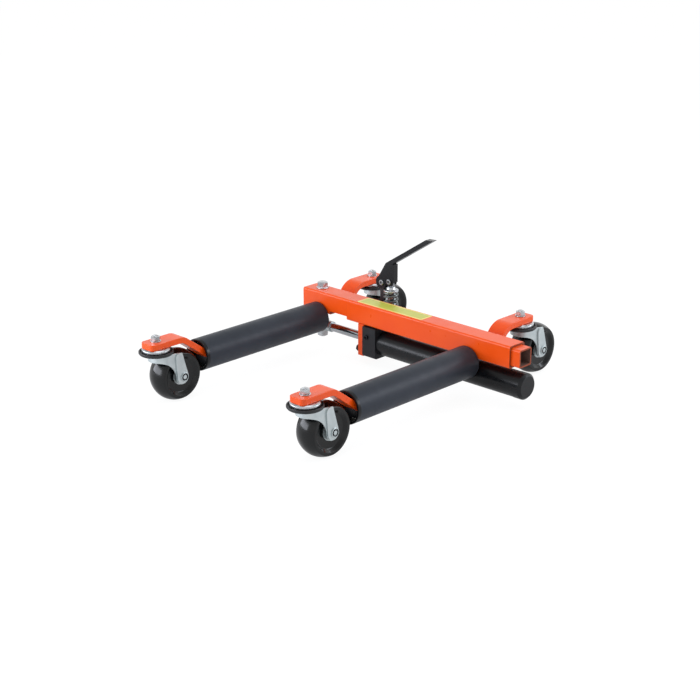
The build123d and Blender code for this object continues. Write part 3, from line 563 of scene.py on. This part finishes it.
def hexagon(shape, flats, height, bore, place, axis, turn_deg=0.0, base_crown=True):
    """A six-sided nut or head whose corners are turned off at 30 degrees, with a bore, in millimetres."""
    stand = lay(place, axis)
    angles = [2 * math.pi * i / HEX_STEPS for i in range(HEX_STEPS)]
    reach = [flats / 2 / math.cos(angle % (math.pi / 3) - math.pi / 6) for angle in angles]
    drop = [(r - CHAMFER_SHARE * flats) * math.tan(math.radians(CHAMFER_DEG)) for r in reach]
    bored, crown = [bore] * HEX_STEPS, [CHAMFER_SHARE * flats] * HEX_STEPS
    top, base = [height] * HEX_STEPS, [0.0] * HEX_STEPS
    rows = [(bored, top), (crown, top), (reach, [height - d for d in drop])]
    rows += [(reach, drop), (crown, base)] if base_crown else [(reach, base)]
    rows.append((bored, base))
    rings = []
    for radii, heights in rows:
        ring = []
        for angle, radius, level in zip(angles, radii, heights):
            turn = angle + math.radians(turn_deg)
            ring.append(stand @ (Vector((radius * math.cos(turn), radius * math.sin(turn), level)) * MM))
        rings.append(ring)
    skin(shape, rings, loop=True)


# %% [markdown]
# ## Axles
#
# An axle runs through each wheel and both legs of its fork: a flat round head with a turned ring on the
# outside, a nut on the inside. The ring is a groove in the lathe outline, because a drawn circle would not
# catch the light on its edges. The groove's floor and walls are painted dark, as painted shade.

# %% Turn the axles
AXLE_RADIUS, AXLE_HEAD_RADIUS, AXLE_HEAD = 6.0, 9.0, 2.5
AXLE_NUT_FLATS, AXLE_NUT_HEIGHT, AXLE_NUT_INSET = 18.0, 5.0, 1.0
GROOVE_OUTSIDE, GROOVE_INSIDE, GROOVE_DEPTH = 7.6, 4.2, 3.0
for row, side in CORNERS:
    corner = f"{row}_{side}"
    centre, size = middle(f"{corner}_axle")
    head_out = size.x / 2
    head_in = head_out - AXLE_HEAD
    groove = head_out - GROOVE_DEPTH
    shape = bmesh.new()
    turned(shape, [
        (0, -head_out), (AXLE_RADIUS, -head_out, 0.8), (AXLE_RADIUS, head_in),
        (AXLE_HEAD_RADIUS, head_in, 0.3), (AXLE_HEAD_RADIUS, head_out - 0.3, 0.9),
        (GROOVE_OUTSIDE, head_out - 0.2, 0.4), (GROOVE_OUTSIDE - 0.4, groove, 0.3),
        (GROOVE_INSIDE + 0.6, groove, 0.3), (GROOVE_INSIDE, head_out - 0.3, 0.5), (0, head_out - 0.1),
    ], centre * MM, X)
    # The groove's faces take the second material, painted shade
    for face in shape.faces:
        spot = face.calc_center_median() / MM - centre
        around = math.hypot(spot.y, spot.z)
        if groove - 0.5 < spot.x < head_out - 0.8 and GROOVE_INSIDE < around < GROOVE_OUTSIDE + 0.1:
            face.material_index = 1
    nut_place = centre - X * (head_out - AXLE_NUT_INSET)
    hexagon(shape, AXLE_NUT_FLATS, AXLE_NUT_HEIGHT, AXLE_RADIUS, nut_place * MM, X)
    finish_piece(f"{corner}_turned_axle", shape, f"{corner}_swivel", "zinc", f"{corner}_axle",
                 own=[finishes["zinc"], painted_groove_shade])
print("axle", round(size.x, 1), "mm long")

# %% [markdown]
# ## Dust rings and races
#
# Above each fork sit a black plastic ring that keeps dust out and the bright pressed disc that the balls
# run on. Both are plain rings in the frame. Turned again, the dust ring gets its raised rim and the race
# its sloping shoulders.

# %% Turn the dust rings and races
RING_BORE, RACE_BORE = 5.4, 5.2
RIM_WIDTH, RIM_HEIGHT = 3.0, 3.5
for row, side in CORNERS:
    corner = f"{row}_{side}"
    centre, size = middle(f"{corner}_dust_ring")
    ring, half = size.x / 2, size.z / 2
    shape = bmesh.new()
    turned(shape, [
        (RING_BORE, -half), (ring - 2.0, -half, 0.6), (ring, -half + 2.5, 1.2), (ring, half, 1.4),
        (ring - RIM_WIDTH, half, 1.2), (ring - RIM_WIDTH - 0.2, half - RIM_HEIGHT, 0.8),
        (RING_BORE, half - RIM_HEIGHT),
    ], centre * MM, Z, loop=True, steps=96)
    finish_piece(f"{corner}_moulded_dust_ring", shape, f"{corner}_swivel", "ring_plastic",
                 f"{corner}_dust_ring")

    low, high = corners_of(f"{side}_upper_races")
    race, thick = (high.x - low.x) / 2, high.z - low.z
    shape = bmesh.new()
    turned(shape, [
        (RACE_BORE, 0), (race - 3.0, 0, 0.8), (race, 2.6, 1.6), (race, thick - 2.2, 1.8),
        (race - 3.2, thick), (RACE_BORE, thick),
    ], Vector((centre.x, centre.y, low.z)) * MM, Z, loop=True, steps=96)
    finish_piece(f"{corner}_pressed_race", shape, SIDES[side], "bright_zinc", f"{side}_upper_races")
print("race", round(race, 1), "mm in radius")

# %% [markdown]
# ## King bolts
#
# A king bolt holds each fork to its bracket: a head below, a washer and a nut above, and the end of the
# thread standing out of the nut. A thread is really one spiral. Over so few turns a stack of ridges looks
# the same and stays part of the lathe outline.

# %% Turn the king bolts
KING_RADIUS, KING_FLATS, KING_HEAD, KING_NUT, KING_END = 5.0, 17.0, 6.0, 8.5, 2.5
KING_GAP, KING_WASHER, KING_TURN_DEG = 0.3, 2.0, 12
THREAD_PITCH, THREAD_DEPTH, THREAD_RUNOUT = 1.5, 0.8, 1.2
for row, side in CORNERS:
    corner = f"{row}_{side}"
    centre, size = middle(f"{corner}_dust_ring")
    king = Vector((centre.x, centre.y, 0))
    low, high = corners_of(f"{side}_king_bolts")
    washer_radius = (high.x - low.x) / 2
    nut_base = high.z - KING_END - KING_NUT
    washer_base = nut_base - KING_WASHER
    shape = bmesh.new()
    hexagon(shape, KING_FLATS, KING_HEAD, 0.5, (king + Z * low.z) * MM, Z)
    thread = [(KING_RADIUS, low.z + KING_HEAD), (KING_RADIUS, nut_base)]
    level = nut_base + KING_NUT - THREAD_PITCH
    while level < high.z - THREAD_RUNOUT:
        thread += [(KING_RADIUS, level), (KING_RADIUS - THREAD_DEPTH, level + THREAD_PITCH / 2)]
        level += THREAD_PITCH
    shank = [(0, low.z + KING_HEAD - 1.0)] + thread + [(KING_RADIUS - 1.0, high.z, 0.4), (0, high.z)]
    turned(shape, shank, king * MM, Z)
    turned(shape, [
        (KING_RADIUS + KING_GAP, washer_base), (washer_radius, washer_base, 0.5),
        (washer_radius, nut_base, 0.7), (KING_RADIUS + KING_GAP, nut_base),
    ], king * MM, Z, loop=True)
    hexagon(shape, KING_FLATS, KING_NUT, KING_RADIUS, (king + Z * nut_base) * MM, Z, turn_deg=KING_TURN_DEG)
    finish_piece(f"{corner}_king_bolt", shape, SIDES[side], "bright_zinc", f"{side}_king_bolts")
print("king bolt", round(high.z - low.z, 1), "mm long")

# %% [markdown]
# ## The ram's anchor
#
# A long bolt drops through the sliding head and the eye of the rod, so that the ram pulls the left arm
# in. Its head stands on the beam with a washer, its nut hangs below the eye. The lathe and the hexagon
# make it in one mesh, as they made the king bolts.

# %% Anchor bolt
ANCHOR_RADIUS, ANCHOR_FLATS, ANCHOR_HEAD = 7.0, 21.0, 10.5
ANCHOR_GAP, ANCHOR_WASHER, ANCHOR_NUT, ANCHOR_END = 0.2, 2.5, 12.0, 2.0
HEAD_TURN_DEG, NUT_TURN_DEG = 20, 8
centre, size = middle("anchor_bolt")
low, high = corners_of("anchor_bolt")
stem = Vector((centre.x, centre.y, 0))
head_base = high.z - ANCHOR_HEAD
washer_base = head_base - ANCHOR_WASHER
head_place, nut_place = stem + Z * head_base, stem + Z * (low.z + ANCHOR_END)
shape = bmesh.new()
hexagon(shape, ANCHOR_FLATS, ANCHOR_HEAD, 0.5, head_place * MM, Z, turn_deg=HEAD_TURN_DEG, base_crown=False)
turned(shape, [
    (ANCHOR_RADIUS + ANCHOR_GAP, washer_base), (size.x / 2, washer_base, 0.5), (size.x / 2, head_base, 0.8),
    (ANCHOR_RADIUS + ANCHOR_GAP, head_base),
], stem * MM, Z, loop=True)
turned(shape, [
    (0, low.z), (ANCHOR_RADIUS - 1.0, low.z, 0.4), (ANCHOR_RADIUS, low.z + 1.4, 0.4),
    (ANCHOR_RADIUS, head_base), (0, head_base + 0.5),
], stem * MM, Z)
hexagon(shape, ANCHOR_FLATS, ANCHOR_NUT, ANCHOR_RADIUS, nut_place * MM, Z, turn_deg=NUT_TURN_DEG)
finish_piece("anchor_bolt_and_nut", shape, "sliding_arm", "bright_zinc", "anchor_bolt")
print("anchor bolt", round(size.z), "mm long")

# %% [markdown]
# ## Pump spring
#
# The return spring is a heavy wire coil with closed ends: the last turn at each end lies on its
# neighbour, so that it stands flat. A screw modifier would give it one even pitch, so the pitch is built
# up step by step here and then carried to the exact height. The wire is a ring of points carried along
# that path.

# %% Wire
def wire(shape, path, radii, sides=14):
    """A round wire along a path in metres, with a radius at each point and a flat tip at each end."""
    rings = [[path[0]]]
    across = Vector((0, 0, 1))
    for i, point in enumerate(path):
        along = (path[min(i + 1, len(path) - 1)] - path[max(i - 1, 0)]).normalized()
        across = (across - along * across.dot(along)).normalized()
        beside = along.cross(across)
        angles = [2 * math.pi * k / sides for k in range(sides)]
        rings.append([point + (across * math.cos(a) + beside * math.sin(a)) * radii[i] for a in angles])
    rings.append([path[-1]])
    skin(shape, rings)


# %% Spring
WIRE, OPEN_PITCH = 2.6, 2.2
CLOSED_TURNS, OPEN_TURNS, EASE_TURNS, STEPS_A_TURN = 0.75, 2.75, 0.5, 48
START_ANGLE = math.radians(200)
low, high = corners_of("pump_spring")
coil = (high.x - low.x) / 2 - WIRE
axis = Vector(((low.x + high.x) / 2, (low.y + high.y) / 2, 0))
total = 2 * CLOSED_TURNS + OPEN_TURNS
climb = [0.0]
for i in range(round(total * STEPS_A_TURN)):
    turn_now = i / STEPS_A_TURN
    inside = min(turn_now, total - turn_now) - CLOSED_TURNS + EASE_TURNS / 2
    opening = min(max(inside / EASE_TURNS, 0.0), 1.0)
    climb.append(climb[-1] + 2 * WIRE + opening * WIRE * OPEN_PITCH)
rise = (high.z - low.z - 2 * WIRE) / climb[-1]
path = []
for i, level in enumerate(climb):
    angle = 2 * math.pi * i / STEPS_A_TURN + START_ANGLE
    spot = axis + Vector((math.cos(angle), math.sin(angle), 0)) * coil + Z * (low.z + WIRE + level * rise)
    path.append(spot * MM)
shape = bmesh.new()
wire(shape, path, [WIRE * MM] * len(path), sides=18)
spring = finish_piece("pump_coil_spring", shape, "frame", "spring_steel", "pump_spring", sharp_deg=60)
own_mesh(spring)

# %% [markdown]
# A flanged zinc cap holds the spring down on the plunger. Two steel pins, riveted at both ends, join the
# pedal to the pump and to the plunger. Each shows a round head with a dimple where it was centred for
# turning, and the dimple is painted dark as painted shade.

# %% Spring cap
CAP_BORE, CAP_TOP, CAP_NECK = 7.1, 8.4, 10.5
low, high = corners_of("spring_cap")
flange = (high.x - low.x) / 2
shape = bmesh.new()
turned(shape, [
    (CAP_BORE, low.z), (flange, low.z, 0.8), (flange, low.z + 3.5, 1.4), (CAP_NECK, low.z + 4.5, 1.5),
    (CAP_TOP, high.z, 1.2), (CAP_BORE, high.z),
], axis * MM, Z, loop=True)
finish_piece("turned_spring_cap", shape, "pump_plunger", "bright_zinc", "spring_cap")
print("spring cap flange", round(flange, 1), "mm")

# %% Pins
PIN_HEAD, PIN_DIMPLE, DIMPLE_DEPTH = 2.5, 1.9, 1.6
for pin, body, shank in (("pivot_pin", "frame", 5.0), ("plunger_pin", "pump_plunger", 4.0)):
    centre, size = middle(pin)
    end, head = size.y / 2, size.x / 2
    shape = bmesh.new()
    turned(shape, [
        (0, -end + DIMPLE_DEPTH), (PIN_DIMPLE, -end + DIMPLE_DEPTH), (PIN_DIMPLE + 0.5, -end, 0.2),
        (head - 1.4, -end, 0.5), (head, -end + 0.9, 0.5), (head, -end + PIN_HEAD, 0.3),
        (shank, -end + PIN_HEAD), (shank, end - PIN_HEAD), (head, end - PIN_HEAD, 0.3),
        (head, end - 0.9, 0.5), (head - 1.8, end, 0.6), (0, end),
    ], centre * MM, Y)
    # The dimple's faces take the second material, painted shade
    for face in shape.faces:
        spot = face.calc_center_median() / MM - centre
        if spot.y < -end + DIMPLE_DEPTH + 0.2 and math.hypot(spot.x, spot.z) < PIN_DIMPLE + 0.4:
            face.material_index = 1
    finish_piece(f"riveted_{pin}", shape, body, "bright_zinc", pin, own=[finishes["bare_steel"], painted_groove_shade])
print("pin head", round(head, 1), "mm in radius")

# %% [markdown]
# ## Pump screws
#
# Three black bolts clamp the pump to its plate, and a small black screw on the front face opens the valve
# that lets the ram back. They are plain in the frame. Here the bolts get chamfered heads, and the valve
# screw a socket for its key.

# %% Pump bolts
BOLT_FLATS, BOLT_HEAD, BOLT_RADIUS, BOLT_TURN_DEG = 13.0, 6.0, 4.0, 10
low, high = corners_of("pump_bolts")
centre, reach = (low + high) / 2, high.x - low.x
side_step = (high.y - low.y) / 2 - BOLT_FLATS / math.sqrt(3)
up_step = (high.z - low.z) / 2 - BOLT_FLATS / 2
shape = bmesh.new()
for across, up in ((-1, -1), (1, -1), (1, 1)):
    spot = Vector((low.x, centre.y + across * side_step, centre.z + up * up_step))
    head_base = (spot + X * BOLT_HEAD) * MM
    turn_deg = BOLT_TURN_DEG * across
    hexagon(shape, BOLT_FLATS, BOLT_HEAD, 0.5, head_base, -X, turn_deg=turn_deg, base_crown=False)
    turned(shape, [
        (0, BOLT_HEAD - 1.0), (BOLT_RADIUS, BOLT_HEAD), (BOLT_RADIUS, reach, 0.6), (0, reach),
    ], spot * MM, X, steps=32)
finish_piece("pump_clamp_bolts", shape, "frame", "black_bolts", "pump_bolts")
print("pump bolts", round(reach, 1), "mm long")

# %% Release screw
SCREW_RADIUS, SCREW_HEAD_RADIUS, SCREW_HEAD = 3.5, 5.0, 3.5
SOCKET_RADIUS, SOCKET_DEPTH = 2.0, 2.2
low, high = corners_of("release_screw")
centre, length = (low + high) / 2, high.y - low.y
neck, socket = length - SCREW_HEAD, length - SOCKET_DEPTH
shape = bmesh.new()
turned(shape, [
    (0, 0), (SCREW_RADIUS, 0, 0.5), (SCREW_RADIUS, neck), (SCREW_HEAD_RADIUS, neck, 0.2),
    (SCREW_HEAD_RADIUS, length, 0.8), (SOCKET_RADIUS + 0.4, length, 0.2), (SOCKET_RADIUS, socket),
    (0, socket),
], Vector((centre.x, high.y, centre.z)) * MM, -Y, steps=48)
finish_piece("release_socket_screw", shape, "release", "black_bolts", "release_screw")
print("release screw", round(length, 1), "mm long")

# %% [markdown]
# ## Welds
#
# The rear brackets and the pump plate are welded to the beam before painting, so each joint has a rippled
# bead under the orange. A bump texture would leave the corner sharp. A bead is a wire whose radius swells
# with each ripple, half sunk in the corner that it fills.

# %% Weld beads
RIPPLE_MM, RIPPLE_SHARE, STEPS_A_RIPPLE = 2.4, 0.1, 6
BEAD_MM, TAIL_SHARE, SINK = 2.6, 0.8, 0.6
BRACKET_BAR, BRACKET_INSET, PLATE_INSET = 12.0, 1.0, 4.0


def weld(shape, start, end):
    """A rippled bead along a straight run between two places, in millimetres."""
    path, radii = [], []
    run = Vector(end) - Vector(start)
    count = max(4, round(run.length / RIPPLE_MM * STEPS_A_RIPPLE))
    for i in range(count):
        travelled = run.length * i / count
        ripple = 1 + RIPPLE_SHARE * math.cos(2 * math.pi * travelled / RIPPLE_MM)
        path.append((Vector(start) + run * i / count) * MM)
        radii.append(BEAD_MM * ripple * MM)
    path.append(Vector(end) * MM)
    radii.append(BEAD_MM * TAIL_SHARE * MM)
    wire(shape, path, radii, sides=12)


for side, body in SIDES.items():
    low, high = corners_of(f"{side}_rear_bracket")
    left, right = low.x + BRACKET_INSET, high.x - BRACKET_INSET
    shape = bmesh.new()
    for level in (low.z + BRACKET_BAR, low.z):
        weld(shape, (left, low.y + SINK, level), (right, low.y + SINK, level))
    finish_piece(f"{side}_bracket_welds", shape, body, "orange_paint", sharp_deg=80)
low, high = corners_of("pump_plate")
shape = bmesh.new()
weld(shape, (low.x, low.y + PLATE_INSET, high.z - SINK), (low.x, high.y - PLATE_INSET, high.z - SINK))
finish_piece("plate_weld", shape, "frame", "orange_paint", sharp_deg=80)
print("welds", 2 * len(SIDES) + 1)

# %% [markdown]
# ## The sticker
#
# A vinyl sticker lies on the beam's top: a yellow-green panel in a yellow border. The film is smooth and
# satin, so it takes the room's light evenly. A picture could be laid on the beam instead, but two flat
# colours need none: the border and the panel are faces of one thin sheet, each with its own material.

# %% Vinyl
sticker_tones = {"panel": ("#C2C344", "#CDCE50"), "border": ("#F2DC6E", "#F7E47E")}
vinyl = []
for part, tones in sticker_tones.items():
    material, tree, shader, place = start_material(f"Vinyl film, printed {part}", IOR=1.5)
    dress(tree, shader, place, tones, 22, (0.3, 0.4), 10)
    vinyl.append(material)
print("vinyl", len(vinyl), "colours")

# %% Sticker
STICKER_LEFT, STICKER_RIGHT, STICKER_FRONT, STICKER_BACK = -97.0, 80.0, -18.0, 17.5
STICKER_CORNER, STICKER_BORDER, STICKER_THICKNESS, STICKER_SINK = 4.0, 4.5, 0.25, 0.1
CORNER_STEPS = 6


def sticker_edge(inset, level):
    """Points round the sticker's edge, drawn in by an inset, in metres."""
    points = []
    left, right = STICKER_LEFT + inset, STICKER_RIGHT - inset
    front, back = STICKER_FRONT + inset, STICKER_BACK - inset
    radius = STICKER_CORNER - inset / 2
    centres = ((right - radius, back - radius), (left + radius, back - radius),
               (left + radius, front + radius), (right - radius, front + radius))
    for quarter, (x, y) in enumerate(centres):
        for k in range(CORNER_STEPS + 1):
            angle = math.pi / 2 * (quarter + k / CORNER_STEPS)
            points.append(Vector((x + radius * math.cos(angle), y + radius * math.sin(angle), level)) * MM)
    return points


beam_top = corners_of("outer_beam")[1].z
top = beam_top + STICKER_THICKNESS
edges = ((0, beam_top - STICKER_SINK), (0, top), (STICKER_BORDER, top))
shape = bmesh.new()
skin(shape, [sticker_edge(inset, level) for inset, level in edges])
for face in shape.faces:
    face.material_index = 1
shape.verts.ensure_lookup_table()
count = len(shape.verts) // len(edges)
shape.faces.new(shape.verts[len(shape.verts) - count:]).material_index = 0
shape.faces.new(list(reversed(shape.verts[:count]))).material_index = 1
finish_piece("blank_sticker", shape, "frame", None, own=vinyl)
print("sticker", STICKER_RIGHT - STICKER_LEFT, "mm long")

# %% [markdown]
# ## Studio
#
# The photograph was taken in a white room: white floor, white walls, a window's width of light from the
# low front left that throws the arms' shadows on the beam, and another from behind on the right that lies
# along the rollers. The floor is white paint. For the camera it glows a little too, so that it comes out
# white and its shadows stay pale, and reflections take a share of that glow.

# %% Floor
scene.view_settings.view_transform = "Standard"
FLOOR_HALF = 20.0
FLOOR_GLOW, GLOSSY_SHARE = 0.92, 0.3
floor_mesh = bpy.data.meshes.new("studio_floor")
corners = [(x * FLOOR_HALF, y * FLOOR_HALF, 0) for x, y in ((-1, -1), (1, -1), (1, 1), (-1, 1))]
floor_mesh.from_pydata(corners, [], [(0, 1, 2, 3)])
floor = bpy.data.objects.new("studio_floor", floor_mesh)
scene.collection.objects.link(floor)
floor_material = bpy.data.materials.new("White studio floor, painted matt")
floor_material.use_nodes = True
tree = floor_material.node_tree
tree.nodes.remove(tree.nodes["Principled BSDF"])
ray = add(tree, "ShaderNodeLightPath", {}).outputs
seen = add(tree, "ShaderNodeMath", {0: ray["Is Camera Ray"], 1: ray["Is Transmission Ray"]},
           operation="MAXIMUM")
share = add(tree, "ShaderNodeMath", {0: ray["Is Glossy Ray"], 1: GLOSSY_SHARE, 2: seen.outputs[0]},
            operation="MULTIPLY_ADD")
matt = add(tree, "ShaderNodeBsdfDiffuse", {"Color": linear("#EDEDED")})
grey = add(tree, "ShaderNodeBsdfDiffuse", {"Color": linear("#6A6A6A")})
glow = add(tree, "ShaderNodeEmission", {"Color": (1, 1, 1, 1), "Strength": FLOOR_GLOW})
lit = add(tree, "ShaderNodeAddShader", {0: grey.outputs[0], 1: glow.outputs[0]})
mix = add(tree, "ShaderNodeMixShader", {0: share.outputs[0], 1: matt.outputs[0], 2: lit.outputs[0]})
tree.links.new(mix.outputs[0], tree.nodes["Material Output"].inputs["Surface"])
floor_mesh.materials.append(floor_material)
print("floor glow", FLOOR_GLOW)

# %% [markdown]
# The room's walls are white to the camera and in reflections, and its ceiling is greyer, so the upper
# sides of round things darken a little between the wall's light and the lamps'. The back wall is lit more,
# and the painted tops, seen at a low angle, mirror it. The light that the room sheds is set apart from how
# bright it looks.

# %% Room
ROOM_LIGHT, WALL, CEILING, BACK_GAIN = 0.56, 1.0, 0.55, 1.25
# How high a direction points where the wall ends and where the ceiling is reached
WALL_END, CEILING_START = 0.35, 0.75
# How far back a direction points where the back wall's light begins and where it is full
BACK_START, BACK_FULL = 0.3, 0.6
world = bpy.data.worlds.new("White room")
scene.world = world
world.use_nodes = True
tree = world.node_tree
ray = add(tree, "ShaderNodeLightPath", {}).outputs
shown = add(tree, "ShaderNodeMath", {0: ray["Is Camera Ray"], 1: ray["Is Glossy Ray"]}, operation="MAXIMUM")
shown = add(tree, "ShaderNodeMath", {0: shown.outputs[0], 1: ray["Is Transmission Ray"]},
            operation="MAXIMUM")
direction = add(tree, "ShaderNodeTexCoord", {}).outputs["Generated"]
parts = add(tree, "ShaderNodeSeparateXYZ", {"Vector": direction}).outputs
walls = add(tree, "ShaderNodeMapRange", {
    "Value": parts["Z"], "From Min": WALL_END, "From Max": CEILING_START, "To Min": WALL, "To Max": CEILING,
})
back = add(tree, "ShaderNodeMapRange", {
    "Value": parts["Y"], "From Min": BACK_START, "From Max": BACK_FULL, "To Min": 1.0, "To Max": BACK_GAIN,
})
walls = add(tree, "ShaderNodeMath", {0: walls.outputs["Result"], 1: back.outputs["Result"]},
            operation="MULTIPLY")
level = add(tree, "ShaderNodeMix", {0: shown.outputs[0], 2: ROOM_LIGHT, 3: walls.outputs[0]})
background = tree.nodes["Background"]
background.inputs["Color"].default_value = (1, 1, 1, 1)
tree.links.new(level.outputs[0], background.inputs["Strength"])
print("room light", ROOM_LIGHT)

# %% [markdown]
# Three soft lamps. The low one in front on the left draws the highlights on the wheels and the ram, the
# one behind on the right draws the rollers' soft bands, and the one overhead fills the tops.

# %% Lamps
def softbox(name, place, aim, size, watts, colour):
    """A rectangular area lamp at a place, turned to face an aim, in metres."""
    light = bpy.data.lights.new(name, "AREA")
    light.shape = "RECTANGLE"
    light.size, light.size_y = size
    light.energy = watts
    light.color = linear(colour)[:3]
    lamp = bpy.data.objects.new(name, light)
    lamp.location = place
    lamp.rotation_euler = (Vector(place) - Vector(aim)).to_track_quat("Z", "Y").to_euler()
    scene.collection.objects.link(lamp)


softbox("left_window", (-1.25, -1.95, 0.55), (0.1, -0.2, 0.08), (2.2, 0.8), 36, "#F0F4FF")
softbox("right_window", (1.68, 1.43, 1.06), (0.1, -0.2, 0.08), (1.2, 0.8), 20, "#EFF4FF")
softbox("top_softbox", (0.2, -0.2, 2.4), (0, -0.1, 0.1), (2.0, 1.6), 14, "#F4F8FF")
